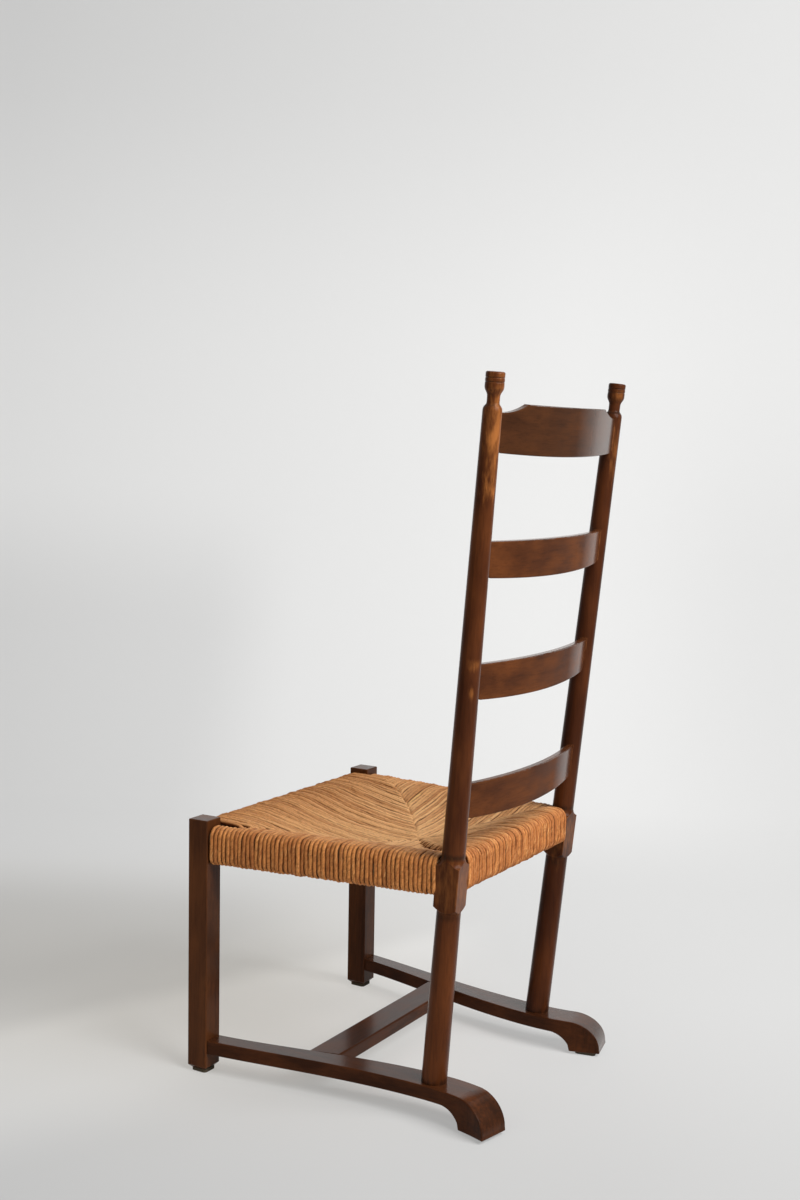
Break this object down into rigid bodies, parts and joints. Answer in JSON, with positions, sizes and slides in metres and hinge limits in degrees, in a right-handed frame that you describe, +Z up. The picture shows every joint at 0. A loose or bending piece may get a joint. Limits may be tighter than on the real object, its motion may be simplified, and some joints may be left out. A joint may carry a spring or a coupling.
{
  "type": "low chair",
  "caption": "Low ladder-back chair: rush seat on square front legs and raked turned posts with finials, bowed back slats, runner feet with scrolled toes and a cross stretcher.",
  "frame": {"origin": "on the floor under the middle of the chair's bounding box", "axes": "+Z up, -Y towards the front of the seat, +X to the sitter's left"},
  "size_m": [0.4838, 0.5037, 1.0495],
  "materials": {
    "stained_wood": "dark brown stain under satin varnish, rubbed paler on the posts",
    "bare_wood": "plain sawn, hidden inside the seat",
    "rush_cord": "twisted natural rush, dry and fibrous, golden brown",
    "rush_packing": "loose broken rush, hidden inside the seat",
    "felt": "dense brown felt"
  },
  "bodies": {
    "root": {"front_leg_left": "stained_wood", "front_leg_right": "stained_wood", "rear_post_left": "stained_wood", "rear_post_right": "stained_wood", "runner_left": "stained_wood", "runner_right": "stained_wood", "cross_stretcher": "stained_wood", "lower_slat": "stained_wood", "second_slat": "stained_wood", "third_slat": "stained_wood", "crest_slat": "stained_wood", "seat_rail_front": "bare_wood", "seat_rail_left": "bare_wood", "seat_rail_rear": "bare_wood", "seat_rail_right": "bare_wood", "rush_front": "rush_cord", "rush_left": "rush_cord", "rush_rear": "rush_cord", "rush_right": "rush_cord", "packing_front": "rush_packing", "packing_left": "rush_packing", "packing_rear": "rush_packing", "packing_right": "rush_packing", "front_pad_left": "felt", "front_pad_right": "felt", "toe_pad_left": "felt", "toe_pad_right": "felt"}
  },
  "joints": []
}
